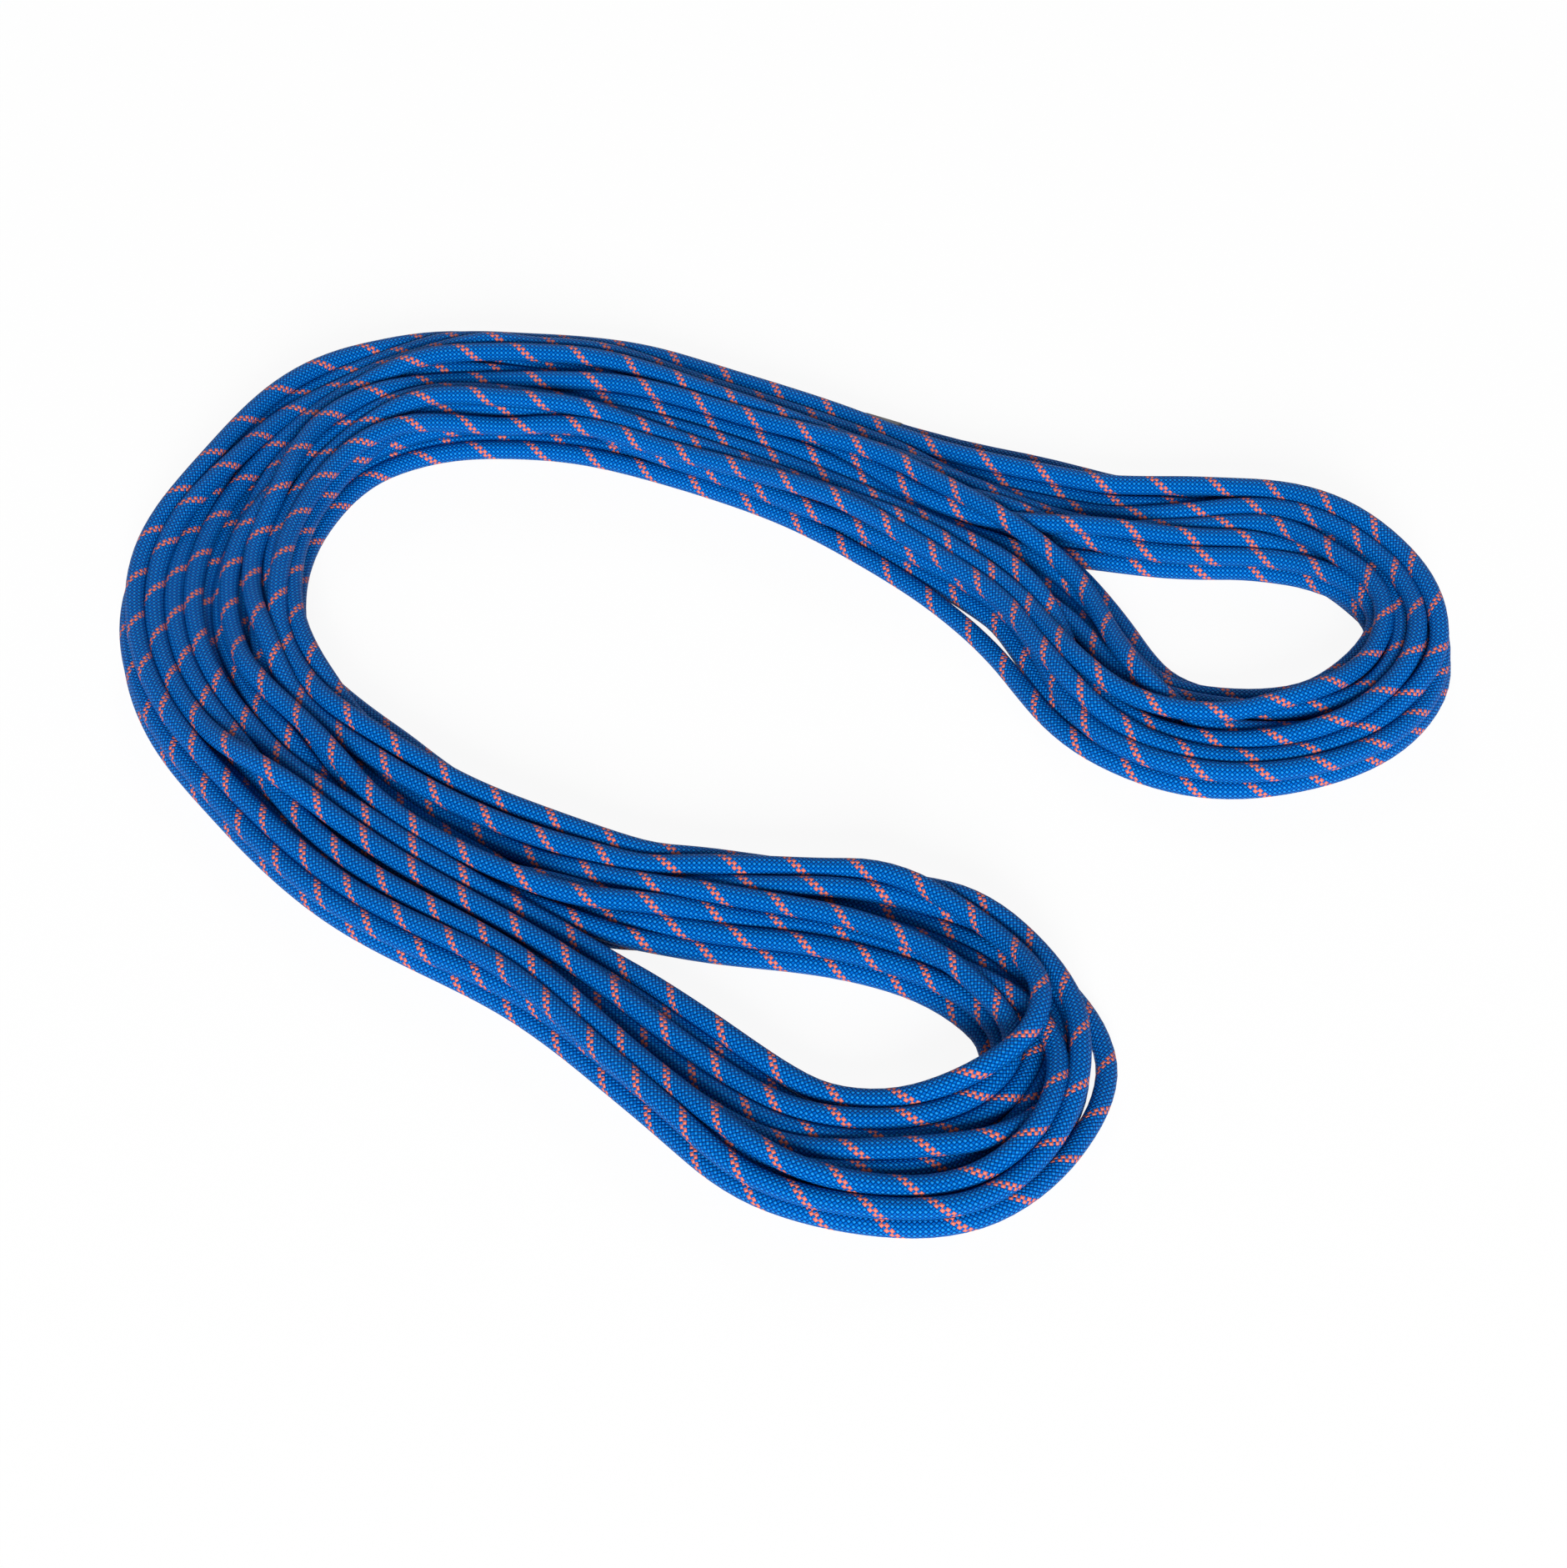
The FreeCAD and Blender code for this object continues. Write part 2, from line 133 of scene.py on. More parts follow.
def half(i, outer):
    """The limits in one half of a body station, and how far past the middle a strand may go."""
    mix = SPLIT.get(i, MIX)
    shares = (0.5 - mix, 1.0) if outer else (0.5 + mix, 0.0)
    return (*station_edges(BODY[i], *shares), 0.0 if i in SPLIT else MIDDLE_ROOM)


# (left, right, room past the left) of every station, in the order a turn passes them
ring = [half(i, True) for i in range(BODY_START, len(BODY))]
ring += [(*station_edges(station, 0.0, 1.0), 0.0) for station in LOWER_EYE]
ring += [half(i, False) for i in reversed(range(len(BODY)))]
ring += [(*station_edges(station, 0.0, 1.0), 0.0) for station in reversed(UPPER_EYE)]
ring += [half(i, True) for i in range(BODY_START)]
RING = len(ring)
LAST = RING - BODY_START - 1    # the ring station where end B leaves
LOWER_END = len(BODY) - BODY_START + len(LOWER_EYE) - 1     # the lower eye's last ring station
left = np.array([r[0] for r in ring])
right = np.array([r[1] for r in ring])
spare = np.array([r[2] for r in ring])
number = np.arange(RING)
is_body = (number <= len(BODY) - BODY_START - 1) | (number > LAST)
is_body |= (number > LOWER_END) & (number <= LOWER_END + len(BODY))

# The place of each turn across the bundle, from 0 at its left edge to 1 at its right one, and how
# far it strays from there.
EYE_PLACES = [1.0, 0.81, 0.62, 0.43, 0.24, 0.0, 0.06, 0.29, 0.5, 0.71, 0.94, 0.12, 0.85, 0.5]
BODY_PLACES = [1.0, 0.79, 0.58, 0.37, 0.16, 0.05, 0.27, 0.48, 0.69, 0.93, 0.86, 0.55, 0.3, 0.7]
STRAYS = [0.0, 0.04, 0.05, 0.05, 0.04, 0.0, 0.03, 0.15, 0.2, 0.15, 0.03, 0.08, 0.08, 0.08]
# The last turns lie on top, where they show: how they wander, as (ring station, place).
WANDERERS = {
    11: [(0, 0.8), (4, 0.1), (8, 0.55), (10, 0.75), (13, 0.6), (16, 0.4), (19, 0.1), (23, 0.1),
         (26, 0.6), (28, 0.2), (30, 0.2), (31, 0.35), (33, 0.65), (36, 0.9), (39, 0.2), (42, 0.6)],
    12: [(0, 0.4), (4, 0.75), (8, 0.3), (10, 0.5), (13, 0.1), (16, 0.2), (19, 0.4), (23, 0.8),
         (26, 0.35), (28, 0.5), (30, 0.9), (31, 0.75), (33, 0.4), (36, 0.15), (39, 0.6), (42, 0.3)],
    13: [(0, 0.6), (4, 0.35), (8, -0.05), (10, 0.1), (13, 0.35), (16, 0.7), (19, 0.85), (23, 0.4),
         (26, -0.1), (28, 0.0), (30, 0.2), (31, -0.1), (32, 0.0), (33, 0.65), (34, 0.98),
         (36, 0.7), (38, 0.5)],
}
TURNS = len(EYE_PLACES)
# The ring stations where one turn lies loose along the right edge: that turn, and how far right the
# others may lie.
LOOSE = {
    LAST - 2: (TURNS - 1, 0.86),
    LAST - 1: (TURNS - 1, 0.84),
    LAST: (TURNS - 1, 0.86),
    13: (0, 0.9),
    14: (0, 0.73),
    15: (0, 0.84),
    30: (0, 0.86),
    31: (0, 0.76),
    32: (0, 0.92),
    36: (3, 0.88),
    37: (3, 0.9),
}

# ---------------------------------------------------------------- the turns before they settle
SEED = 31
PASSES = 3              # of smoothing, over the places and heights that the turns start with
START_STEP = 0.0022     # how much higher each turn starts than the one before
DESCENT = 8             # last stations of the last turn, in which it comes down to the floor
DESCENT_HEIGHT = 0.024  # and how high its line is, at most, at the first of them
FINE = 8                # points from one station to the next, to measure the line by
CONTROL_STEP = 0.020    # from one control point of the rope's line to the next


def smooth(values):
    """The values with each drawn towards its neighbours, as many times as PASSES says."""
    for _ in range(PASSES):
        padded = np.concatenate([values[:1], values, values[-1:]])
        values = 0.25 * padded[:-2] + 0.5 * padded[1:-1] + 0.25 * padded[2:]
    return values


def between(rows, at):
    """The smooth curve through the rows, at fractional row numbers."""
    rows = np.vstack([2 * rows[0] - rows[1], rows, 2 * rows[-1] - rows[-2]])
    i = np.clip(np.floor(at).astype(int), 0, len(rows) - 4)
    t = (at - i)[:, None]
    a, b, c, d = rows[i], rows[i + 1], rows[i + 2], rows[i + 3]
    square, cube = 2 * a - 5 * b + 4 * c - d, 3 * b - a - 3 * c + d
    return 0.5 * (2 * b + (c - a) * t + square * t**2 + cube * t**3)


def lay_out():
    """The turns' control points, and for each its left and right edge, its room past the left one
    and its limit towards the right one."""
    rng = np.random.default_rng(SEED)
    end = (TURNS - 1) * RING + LAST
    station = np.arange(end + 1) % RING
    turn = np.arange(end + 1) // RING
    share = np.where(is_body[station], np.array(BODY_PLACES)[turn], np.array(EYE_PLACES)[turn])
    for wanderer, places in WANDERERS.items():
        on = turn == wanderer
        share[on] = np.interp(station[on], *zip(*places))
    share = smooth(share)
    stray = smooth(rng.normal(0.0, 1.0, end + 1))
    share = share + stray / stray.std() * np.array(STRAYS)[turn]
    limit = np.ones(end + 1)
    for place, (loose_turn, others) in LOOSE.items():
        limit[(station == place) & (turn != loose_turn)] = others
        share[(station == place) & (turn == loose_turn)] = 1.0
    share = np.clip(share, -spare[station], limit)
    share[:2] = 1.0         # both ends come in at the outer edge
    share[-3:] = 1.0
    coming_back = (station > LOWER_END) & (station < LAST)
    height = RADIUS + START_STEP * (turn + 0.5 * coming_back)
    height = smooth(height)
    descent = np.linspace(DESCENT_HEIGHT, RADIUS, DESCENT)
    height[-DESCENT:] = np.minimum(height[-DESCENT:], descent)
    lefts, rights = left[station], right[station]
    points = np.column_stack([lefts + (rights - lefts) * share[:, None], height])
    points[0] = TAIL_A[-1]
    points[-1] = TAIL_B[-1]
    fine = np.linspace(0, end, FINE * end + 1)
    steps = np.linalg.norm(np.diff(between(points, fine), axis=0), axis=1)
    run = np.concatenate([[0], np.cumsum(steps)])
    at = np.interp(np.linspace(0, run[-1], round(run[-1] / CONTROL_STEP) + 1), run, fine)
    room = np.interp(at, np.arange(end + 1), spare[station])
    limit = np.interp(at, np.arange(end + 1), limit)
    return between(points, at), between(lefts, at), between(rights, at), room, limit


# ---------------------------------------------------------------- how the turns settle
ROUNDS = 500
CALM = 80               # the last rounds, in which nothing sinks any more
SAMPLES = 3             # contact samples on each span of the spline
NEIGHBOURS = 5          # samples along the rope on each side of one that never touch it
REACH = 0.0155          # samples nearer than this are tested for touching
SEARCH_EVERY = 10       # rounds from one search for those to the next
CONTACT = 0.98 * DIAMETER       # two strands that touch are this far apart
SINK = 0.00015          # how far a point sinks in a round
PUSH = 1.3              # how far a point moves for the mean of its contacts' pushes
LEAST_CONTACTS = 0.3    # the mean is over no fewer than this
FLOOR_PUSH = 2          # how hard the floor pushes
STIFFNESS = 0.12        # share of a shift's unevenness along the rope that a round takes away,
CALM_STIFFNESS = 0.03   # and the same in the calm rounds
ANCHOR = 0.998          # share of a sideways shift that a round keeps


def near_pairs(p, reach):
    """Pairs of samples closer than reach that aren't neighbours along the rope, both ways round."""
    order = np.argsort(p[:, 0], kind="stable")
    q = p[order]
    first, second = [], []
    k = 1
    while True:
        gap = q[k:] - q[:-k]
        near = gap[:, 0] < reach
        if not near.any():
            break
        hit = np.nonzero(near & (np.abs(gap[:, 1]) < reach) & (np.abs(gap[:, 2]) < reach))[0]
        first.append(order[hit])
        second.append(order[hit + k])
        k += 1
    i, j = np.concatenate(first), np.concatenate(second)
    apart = (np.abs(i - j) > NEIGHBOURS) & (((p[i] - p[j])**2).sum(1) < reach * reach)
    i, j = i[apart], j[apart]
    a, b = np.concatenate([i, j]), np.concatenate([j, i])
    inside = b < len(p) - 1
    return a[inside], b[inside]


def gathered(index, values, count):
    """For each of count samples, the sum of the rows of values that have its index."""
    return np.column_stack([np.bincount(index, column, count) for column in values.T])


def settle(points, edges, fixed_start, fixed_end, rounds):
    """Lets the turns sink onto the floor and each other, by moving the spline's control points."""
    plan = points.copy()
    edge_left, edge_right, room, limit = edges
    across = edge_right - edge_left
    breadth = (across * across).sum(1)
    count = len(points)
    held = slice(fixed_start, count - fixed_end)
    t = np.arange(SAMPLES) / SAMPLES
    weights = np.stack([0.5 * (1 - t)**2, 0.5 + t * (1 - t), 0.5 * t**2])       # 3 × SAMPLES
    free = np.zeros(count)
    free[held] = 1

    def sample(control):
        """The points on the spline that the control points give."""
        parts = (weights[k][None, :, None] * control[k:count - 2 + k, None] for k in range(3))
        return sum(parts).reshape(-1, 3)

    def spread(values):
        """The samples' values, each handed back to the control points that it comes from."""
        v = values.reshape(count - 2, SAMPLES, -1)
        out = np.zeros((count, v.shape[2]))
        for k in range(3):
            out[k:count - 2 + k] += (weights[k][None, :, None] * v).sum(1)
        return out

    for n in range(rounds):
        settling = n < rounds - CALM
        p = sample(points)
        if n % SEARCH_EVERY == 0:
            pairs = near_pairs(p, REACH)
        if settling:
            points[:, 2] -= SINK * free
            p = sample(points)
        a, b = pairs
        start, run = p[b], p[b + 1] - p[b]
        offset = p[a] - start
        u = np.clip((offset * run).sum(1) / (run * run).sum(1), 0, 1)
        gap = offset - run * u[:, None]
        distance = np.sqrt((gap * gap).sum(1)) + 1e-9
        hit = distance < CONTACT
        a, b, u, gap, distance = a[hit], b[hit], u[hit], gap[hit], distance[hit]
        # Each strand of a touching pair takes half of the push. The fourth column counts contacts.
        push = gap * ((CONTACT - distance) / distance * 0.5)[:, None]
        push = np.column_stack([push, -np.ones(len(push))])
        move = gathered(a, push * [1, 1, 1, -1], len(p))
        move -= gathered(b, push * (1 - u)[:, None], len(p))
        move -= gathered(b + 1, push * u[:, None], len(p))
        below = np.maximum(RADIUS - p[:, 2], 0)
        move[:, 2] += below * FLOOR_PUSH
        move[:, 3] += below > 0
        total = spread(move)
        contacts = np.maximum(total[:, 3:], LEAST_CONTACTS)
        points += free[:, None] * PUSH * total[:, :3] / contacts
        shift = points - plan
        even = shift.copy()
        for _ in range(2):
            even[1:-1] = 0.25 * even[:-2] + 0.5 * even[1:-1] + 0.25 * even[2:]
        shift += (even - shift) * (STIFFNESS if settling else CALM_STIFFNESS)
        shift[:, :2] *= ANCHOR
        points = plan + shift * free[:, None]
        place = ((points[held, :2] - edge_left) * across).sum(1) / breadth
        over = np.clip(place, -room, limit) - place
        points[held, :2] += across * over[:, None]
        points[:, 2] = np.maximum(points[:, 2], RADIUS)
    return points


turns, *edges = lay_out()
edges = [e[1:-1] for e in edges]        # the first and last point of the turns are the ends' own
control = np.vstack([TAIL_A[:-1], turns, TAIL_B[-2::-1]])
rounds = ROUNDS
control = settle(control, edges, len(TAIL_A), len(TAIL_B), rounds)

# ---------------------------------------------------------------- the rope's NURBS line
LINE_STEPS = 3      # points of the line on each span of the spline

curve_data = bpy.data.curves.new("route", "CURVE")
curve_data.dimensions = "3D"
spline = curve_data.splines.new("NURBS")
spline.points.add(len(control) - 1)
spline.points.foreach_set("co", np.column_stack([control, np.ones(len(control))]).ravel())
spline.order_u = 3
spline.use_endpoint_u = True
spline.resolution_u = LINE_STEPS
curve_data.resolution_u = LINE_STEPS
route = bpy.data.objects.new("route", curve_data)
bpy.context.scene.collection.objects.link(route)
bpy.context.view_layer.update()
line = bpy.data.meshes.new_from_object(route)
path = np.array([v.co for v in line.vertices])
bpy.data.objects.remove(route)
bpy.data.meshes.remove(line)

# ---------------------------------------------------------------- tube along the line
SIDES = 14
END_SIDES = 32      # of a sleeve or a tip, which are seen close to
TILE = 0.0292       # length of rope in one repeat of the sheath's pattern


def frames(points):
    """Two directions across the line at every point, carried along it without twist."""
    ahead = np.gradient(points, axis=0)
    ahead /= np.linalg.norm(ahead, axis=1)[:, None]
    side = np.zeros_like(points)
    s = np.cross(ahead[0], (0.0, 0.0, 1.0))
    side[0] = s / np.linalg.norm(s)
    for i in range(1, len(points)):
        s = side[i - 1] - ahead[i] * side[i - 1].dot(ahead[i])
        side[i] = s / np.linalg.norm(s)
    return side, np.cross(side, ahead)


def tube(name, points, radii, run, sides):
    """A closed tube whose map goes once round it and along it in pattern repeats."""
    side, up = frames(points)
    angle = np.arange(sides) * 2 * math.pi / sides
    cosine, sine = np.cos(angle)[None, :, None], np.sin(angle)[None, :, None]
    outward = side[:, None] * cosine + up[:, None] * sine
    corners = points[:, None] + radii[:, None, None] * outward
    count = len(points)
    i, j = np.meshgrid(np.arange(count - 1), np.arange(sides), indexing="ij")
    k = (j + 1) % sides
    this, following = i * sides, (i + 1) * sides
    quads = np.stack([this + j, following + j, following + k, this + k], -1).reshape(-1, 4)
    caps = [list(range(sides)), [(count - 1) * sides + n for n in reversed(range(sides))]]
    mesh = bpy.data.meshes.new(name)
    mesh.from_pydata(corners.reshape(-1, 3).tolist(), [], quads.tolist() + caps)
    uv = np.zeros((quads.size + 2 * sides, 2))
    u = np.stack([j, j, j + 1, j + 1], -1) / sides
    v = np.stack([run[i], run[i + 1], run[i + 1], run[i]], -1) / TILE
    uv[:quads.size, 0] = u.reshape(-1)
    uv[:quads.size, 1] = v.reshape(-1)
    rim = np.column_stack([np.cos(angle), np.sin(angle)]) * 0.5 + 0.5
    uv[quads.size:] = np.vstack([rim, rim[::-1]])
    layer = mesh.uv_layers.new(name="OFBake")
    layer.data.foreach_set("uv", uv.ravel())
    mesh.polygons.foreach_set("use_smooth", [True] * len(quads) + [False] * 2)
    mesh.update()
    piece = bpy.data.objects.new(name, mesh)
    bpy.context.scene.collection.objects.link(piece)
    return piece


TIP_LENGTH = 0.0024         # the melted end, as in part.py

run = np.concatenate([[0], np.cumsum(np.linalg.norm(np.diff(path, axis=0), axis=1))])
length = run[-1]


def points_at(places):
    """Points of the rope's line at distances from end A."""
    return np.column_stack([np.interp(places, run, path[:, k]) for k in range(3)])


inner = (run > 2 * TIP_LENGTH) & (run < length - 2 * TIP_LENGTH)
sheath_run = np.concatenate([[TIP_LENGTH], run[inner], [length - TIP_LENGTH]])
rope = tube("rope", points_at(sheath_run), np.full(len(sheath_run), RADIUS), sheath_run, SIDES)


# ---------------------------------------------------------------- materials
def colour(red, green, blue):
    """An sRGB colour as written (0 to 255) in the linear values that Blender takes."""
    def linear(c):
        c /= 255
        return c / 12.92 if c <= 0.04045 else ((c + 0.055) / 1.055) ** 2.4
    return linear(red), linear(green), linear(blue), 1.0


class Nodes:
    """Short calls for building the nodes of a material or of the world."""

    def __init__(self, owner):
        owner.use_nodes = True
        self.owner = owner
        self.tree = owner.node_tree
        self.shader = self.tree.nodes.get("Principled BSDF")

    def add(self, kind, **settings):
        node = self.tree.nodes.new(kind)
        for key, value in settings.items():
            setattr(node, key, value)
        return node

    def link(self, source, target):
        self.tree.links.new(source, target)

    def put(self, socket, value):
        if isinstance(value, bpy.types.NodeSocket):
            self.link(value, socket)
        else:
            socket.default_value = value

    def math(self, operation, a, b=0.0):
        node = self.add("ShaderNodeMath", operation=operation)
        self.put(node.inputs[0], a)
        self.put(node.inputs[1], b)
        return node.outputs[0]

    def mix(self, factor, a, b):
        node = self.add("ShaderNodeMix", data_type="RGBA")
        self.put(node.inputs["Factor"], factor)
        self.put(node.inputs["A"], a)
        self.put(node.inputs["B"], b)
        return node.outputs["Result"]

    def relief(self, height, depth, strength=1.0):
        """Makes the surface rise with the height, by as much as depth in metres."""
        bump = self.add("ShaderNodeBump")
        bump.inputs["Strength"].default_value = strength
        bump.inputs["Distance"].default_value = depth
        self.link(height, bump.inputs["Height"])
        self.link(bump.outputs[0], self.shader.inputs["Normal"])

    def seen(self):
        """1 for a ray from the camera, a reflection or glass, which show the plain background."""
        paths = self.add("ShaderNodeLightPath").outputs
        straight = self.math("MAXIMUM", paths["Is Camera Ray"], paths["Is Glossy Ray"])
        return self.math("MAXIMUM", straight, paths["Is Transmission Ray"])


STITCHES = 13               # crossings round the rope, and along it in one turn of the tracer
TRACER_YARNS = 2
DIVE = 0.8                  # where the tracer still shows beside the yarn over it, which ends at 1
HUMP = 2.5                  # power of a stitch's hump: the higher, the flatter its top
STREAK_ACROSS = 2.0         # the same of the painted highlight on it, across the yarn and along it
STREAK_ALONG = 3.0
STREAK_NARROW = 6.0         # and how narrow the painted highlight is
P_STREAK = 0.74             # how much of the painted highlight shows on the p yarns, and on the q yarns
Q_STREAK = 0.3
RISE = 2.3                  # how fast a stitch goes from its painted shade to its full colour, going in from its edge
TRACER_RISE = 2.7           # and how much faster on the tracer
GAP_ROUGHNESS = 0.62        # between the stitches, and how much less it is on top of one
TOP_SHINE = 0.1

# The braid's colours, in sRGB from 0 to 255.
# The p yarns' blue is lighter than the q yarns' as a painted sheen: the same yarn catches more
# light one way.
P_BLUE = (0, 94, 184)
Q_BLUE = (0, 74, 158)
# Painted highlights: the light streaks on the stitches' tops, standing in for the yarn's sheen.
P_PAINTED_HIGHLIGHT = (34, 142, 194)
Q_PAINTED_HIGHLIGHT = (5, 120, 200)
CORAL = (208, 114, 94)
# Painted shade: the dark colours at the stitches' edges, where they meet.
BLUE_PAINTED_SHADE = (0, 10, 56)
CORAL_PAINTED_SHADE = (170, 60, 54)
GLOSS_TINT = (30, 180, 255)


def braid_material():
    """The braided sheath. Its p yarns go round the rope one way and its q yarns the other. Its
    colour holds painted highlights and a painted sheen on the yarns, and painted shade at the
    stitches' edges.
    """
    m = Nodes(bpy.data.materials.new("sheath"))
    uv = m.add("ShaderNodeUVMap", uv_map="OFBake")
    split = m.add("ShaderNodeSeparateXYZ")
    m.link(uv.outputs[0], split.inputs[0])
    around = m.math("MULTIPLY", split.outputs[0], STITCHES)
    along = m.math("MULTIPLY", split.outputs[1], STITCHES)
    p = m.math("ADD", along, around)
    q = m.math("SUBTRACT", along, around)
    fp, fq = m.math("FRACT", p), m.math("FRACT", q)
    ip, iq = m.math("FLOOR", p), m.math("FLOOR", q)
    parity = m.math("FLOORED_MODULO", m.math("ADD", ip, iq), 2.0)       # 0: the p yarn is on top
    p_top = m.math("SUBTRACT", 1.0, parity)
    yarn = m.math("FLOORED_MODULO", ip, STITCHES)

    def off_centre(f):
        """0 in the middle of a yarn and 1 at its edges."""
        return m.math("ABSOLUTE", m.math("SUBTRACT", m.math("MULTIPLY", f, 2.0), 1.0))

    def dome(f, power):
        """1 in the middle of a yarn and 0 at its edges."""
        return m.math("SUBTRACT", 1.0, m.math("POWER", off_centre(f), power))

    def painted_highlight(across, lengthwise):
        """The painted highlight on a yarn: narrow across it and long along it."""
        narrow = m.math("POWER", dome(across, STREAK_ACROSS), STREAK_NARROW)
        return m.math("MULTIPLY", narrow, dome(lengthwise, STREAK_ALONG))

    # The tracer still shows a little where it dives under the next yarn.
    shows = m.math("MAXIMUM", p_top, m.math("GREATER_THAN", off_centre(fq), DIVE))
    tracer = m.math("MULTIPLY", shows, m.math("LESS_THAN", yarn, TRACER_YARNS - 0.5))

    height = m.math("MULTIPLY", dome(fp, HUMP), dome(fq, HUMP))
    # Painted highlights: a light streak along the top of each stitch, strongest on the p yarns.
    p_painted_highlight = m.math("MULTIPLY", m.math("MULTIPLY", painted_highlight(fp, fq), p_top), P_STREAK)
    q_painted_highlight = m.math("MULTIPLY", m.math("MULTIPLY", painted_highlight(fq, fp), parity), Q_STREAK)
    # The p yarns on top get the lighter blue, a painted sheen.
    body = m.mix(p_top, colour(*Q_BLUE), colour(*P_BLUE))
    body = m.mix(p_painted_highlight, body, colour(*P_PAINTED_HIGHLIGHT))
    body = m.mix(q_painted_highlight, body, colour(*Q_PAINTED_HIGHLIGHT))
    lit = m.mix(tracer, body, colour(*CORAL))
    # Painted shade: each stitch fades into the shade colour from its middle towards its edges.
    shade = m.mix(tracer, colour(*BLUE_PAINTED_SHADE), colour(*CORAL_PAINTED_SHADE))
    rise = m.math("ADD", RISE, m.math("MULTIPLY", tracer, TRACER_RISE))
    edge = m.math("MINIMUM", m.math("MULTIPLY", height, rise), 1.0)
    m.link(m.mix(edge, shade, lit), m.shader.inputs["Base Color"])
    roughness = m.math("SUBTRACT", GAP_ROUGHNESS, m.math("MULTIPLY", height, TOP_SHINE))
    m.link(roughness, m.shader.inputs["Roughness"])
    m.put(m.shader.inputs["Specular IOR Level"], 0.2)
    m.put(m.shader.inputs["Specular Tint"], colour(*GLOSS_TINT))
    m.relief(height, 0.0005, 0.9)
    return m.owner


def mottled(name, light, dark, scale, roughness, depth):
    """A plain plastic or melted surface: soft patches of two colours and a fine relief."""
    m = Nodes(bpy.data.materials.new(name))
    place = m.add("ShaderNodeTexCoord")
    noise = m.add("ShaderNodeTexNoise")
    noise.inputs["Scale"].default_value = scale
    noise.inputs["Detail"].default_value = 4.0
    m.link(place.outputs["Object"], noise.inputs["Vector"])
    m.link(m.mix(noise.outputs[0], colour(*light), colour(*dark)), m.shader.inputs["Base Color"])
    m.put(m.shader.inputs["Roughness"], roughness)
    m.relief(noise.outputs[0], depth)
    return m.owner


def yarn_material():
    """The twisted white yarn of the core strands."""
    m = Nodes(bpy.data.materials.new("core_yarn"))
    place = m.add("ShaderNodeTexCoord")
    wave = m.add("ShaderNodeTexWave", bands_direction="DIAGONAL")
    wave.inputs["Scale"].default_value = 300.0
    wave.inputs["Distortion"].default_value = 1.5
    m.link(place.outputs["Object"], wave.inputs["Vector"])
    shade = m.mix(wave.outputs["Fac"], colour(186, 182, 170), colour(246, 243, 234))
    m.link(shade, m.shader.inputs["Base Color"])
    m.put(m.shader.inputs["Roughness"], 0.8)
    m.relief(wave.outputs["Fac"], 0.0002)
    return m.owner


rope.data.materials.append(braid_material())
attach(rope, "root")
hank_nodes = sorted(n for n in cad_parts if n.startswith(("hank_", "tail_", "sheath_end_")))
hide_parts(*hank_nodes)

# ---------------------------------------------------------------- the two ends
SLEEVE_END = 0.0234         # from the tip to the far end of the sleeve
SLEEVE_RADIUS = 0.0050
SLEEVE_EDGE = 0.0002        # how much less its radius is at both of its edges
SLEEVE_RINGS = 22
TIP_ROUND = 0.0009          # radius of the melted end's rounded edge
TIP_OVERLAP = 0.0003        # how far the melted end goes into the sheath
TIP_RINGS = 6

# name, light and dark patches, scale of the patches, roughness and depth of the relief
sleeve_look = mottled("sleeve", (34, 36, 42), (20, 21, 25), 900.0, 0.5, 0.00005)
melted_look = mottled("fused_end", (16, 44, 92), (8, 16, 38), 500.0, 0.35, 0.0003)
tape_look = mottled("tape", (226, 196, 70), (198, 164, 44), 400.0, 0.6, 0.00002)


def from_tip(letter, distances):
    """Points of the rope's line at distances from the tip of one end."""
    return points_at(distances if letter == "a" else length - distances)


end_pieces = []
for letter in "ab":
    places = np.linspace(TIP_LENGTH, SLEEVE_END, SLEEVE_RINGS)
    radii = np.full(len(places), SLEEVE_RADIUS)
    radii[[0, -1]] -= SLEEVE_EDGE
    sleeve = tube("sleeve_" + letter, from_tip(letter, places), radii, places, END_SIDES)
    sleeve.data.materials.append(sleeve_look)
    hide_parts("end_sleeve_" + letter)

    rounding = np.linspace(0, 1, TIP_RINGS)
    places = TIP_ROUND * (1 - np.sqrt(1 - rounding**2))
    places = np.concatenate([places, [TIP_LENGTH + TIP_OVERLAP]])
    radii = np.concatenate([RADIUS - TIP_ROUND * (1 - rounding), [RADIUS]])
    tip = tube("tip_" + letter, from_tip(letter, places), radii, places, END_SIDES)
    tip.data.materials.append(melted_look)
    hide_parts("fused_tip_" + letter)
    end_pieces += [sleeve, tip]
for piece in end_pieces:
    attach(piece, "root")

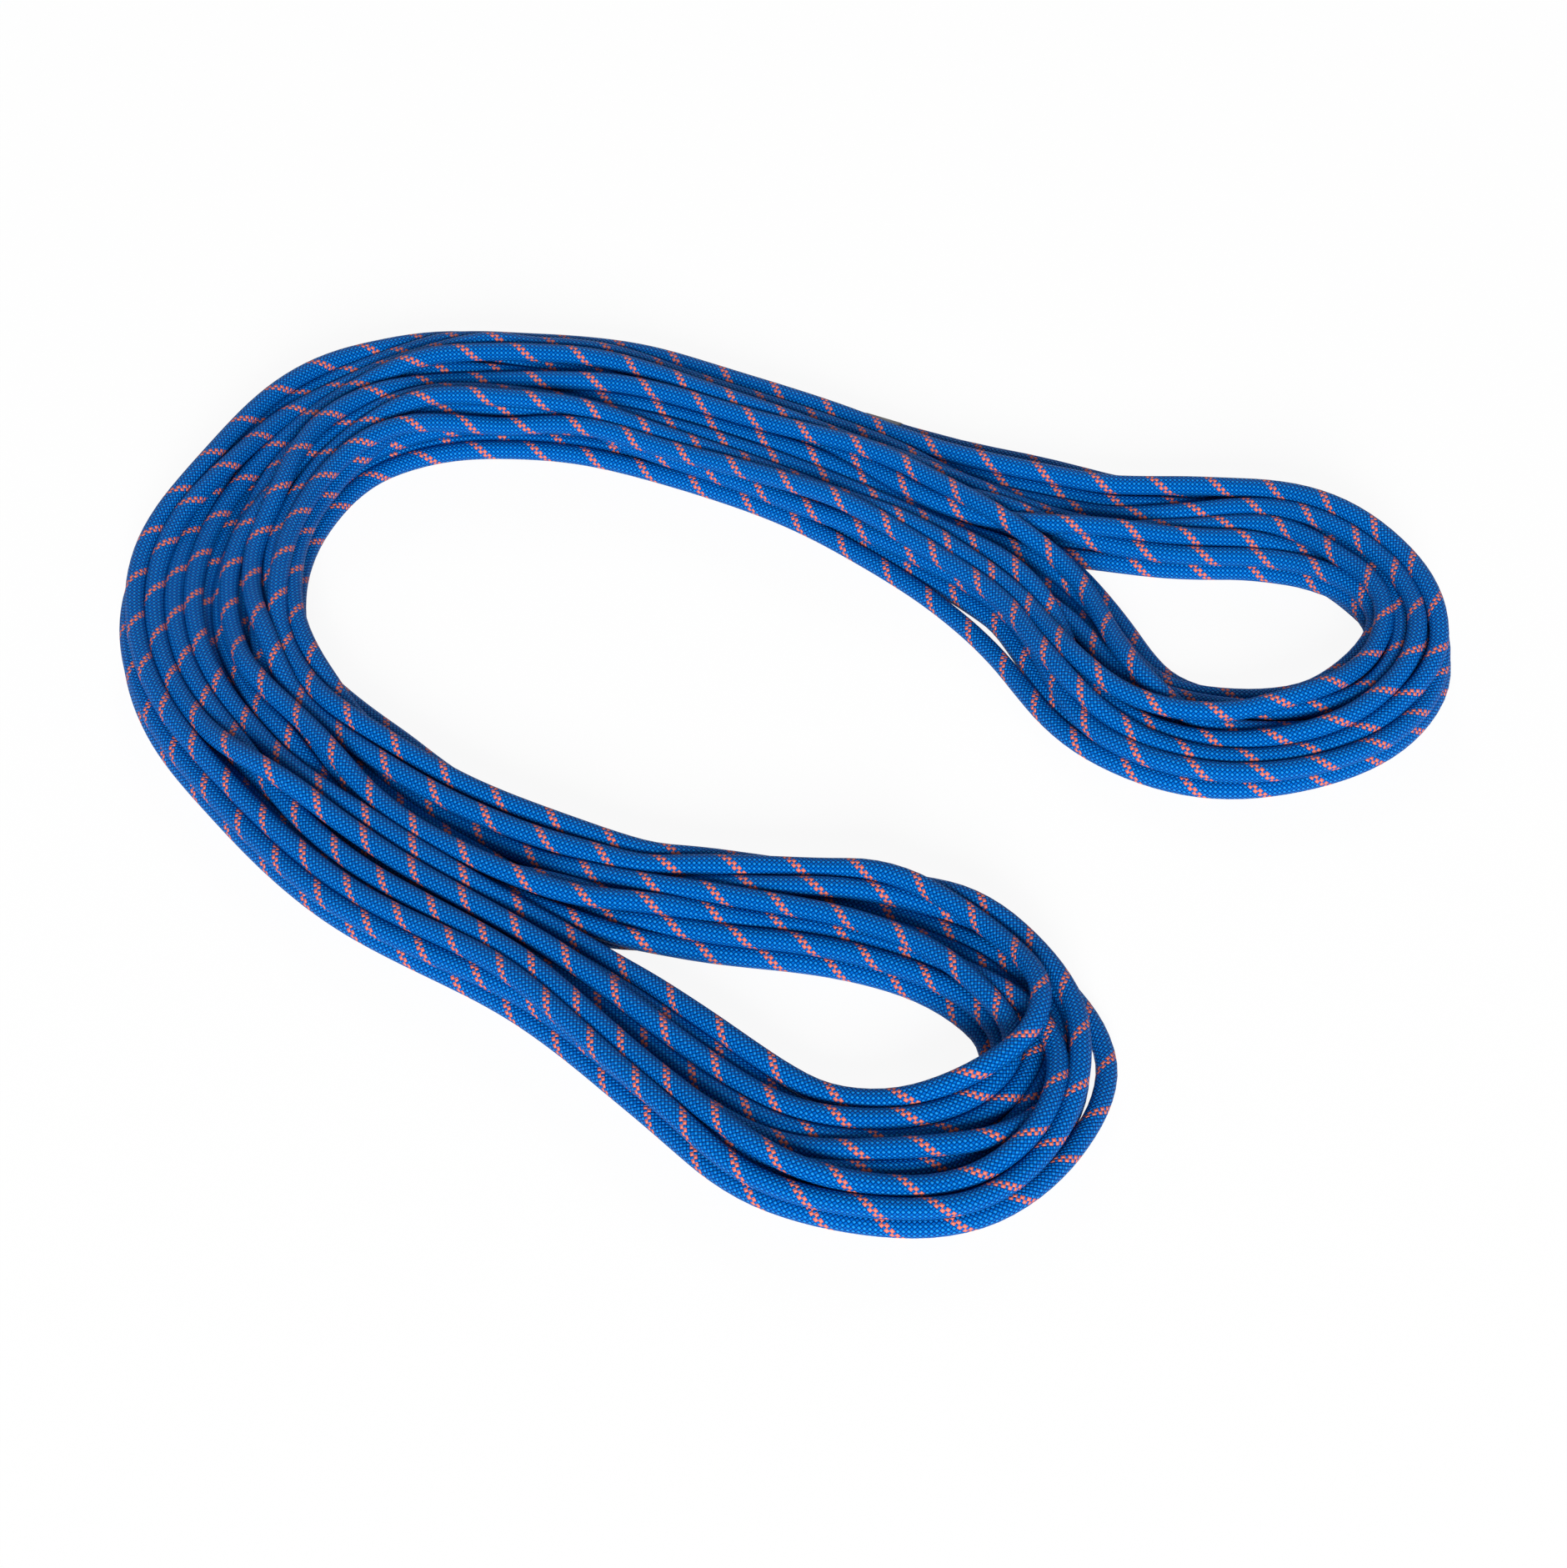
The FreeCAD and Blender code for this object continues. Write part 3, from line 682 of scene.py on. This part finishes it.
yarn_look = yarn_material()
for node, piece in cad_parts.items():
    if node.startswith("core_strand_") or node == "identification_tape":
        piece.data.materials.clear()
        piece.data.materials.append(tape_look if node == "identification_tape" else yarn_look)
        end_pieces.append(piece)

# ---------------------------------------------------------------- floor, lamps and world
FLOOR_REACH = 6         # from the origin to each side of the floor
GLOW_SHARE = 0.92       # how much of the white seen on the floor is its own: its shadows stay faint
WORLD_LIGHT = 0.2       # strength of the light that the world throws on the rope

floor_mesh = bpy.data.meshes.new("floor")
corners = [(x * FLOOR_REACH, y * FLOOR_REACH, 0) for x, y in ((-1, -1), (1, -1), (1, 1), (-1, 1))]
floor_mesh.from_pydata(corners, [], [(0, 1, 2, 3)])
floor = bpy.data.objects.new("floor", floor_mesh)
bpy.context.scene.collection.objects.link(floor)
f = Nodes(bpy.data.materials.new("floor"))
f.shader.inputs["Base Color"].default_value = (0.9, 0.9, 0.9, 1)
f.shader.inputs["Roughness"].default_value = 0.9
glow = f.add("ShaderNodeEmission")
glow.inputs["Strength"].default_value = 1.0
blend = f.add("ShaderNodeMixShader")
f.link(f.math("MULTIPLY", f.seen(), GLOW_SHARE), blend.inputs[0])
f.link(f.shader.outputs[0], blend.inputs[1])
f.link(glow.outputs[0], blend.inputs[2])
f.link(blend.outputs[0], f.tree.nodes["Material Output"].inputs["Surface"])
floor_mesh.materials.append(f.owner)

world = bpy.data.worlds.new("world")
bpy.context.scene.world = world
w = Nodes(world)
background = w.tree.nodes["Background"]
background.inputs["Color"].default_value = (1, 1, 1, 1)
w.link(w.math("MAXIMUM", w.seen(), WORLD_LIGHT), background.inputs["Strength"])


def lamp(name, place, size, power):
    """A square lamp that points at the origin, with its side in metres and its power in watts."""
    data = bpy.data.lights.new(name, "AREA")
    data.size = size
    data.energy = power
    o = bpy.data.objects.new(name, data)
    o.location = place
    o.rotation_euler = (-Vector(place)).to_track_quat("-Z", "Y").to_euler()
    bpy.context.scene.collection.objects.link(o)


lamp("key", (0.44, -10.8, 4.95), 4.0, 2550)
lamp("back", (-0.2, 4.6, 2.4), 1.2, 60)

bpy.context.scene.view_settings.view_transform = "Standard"
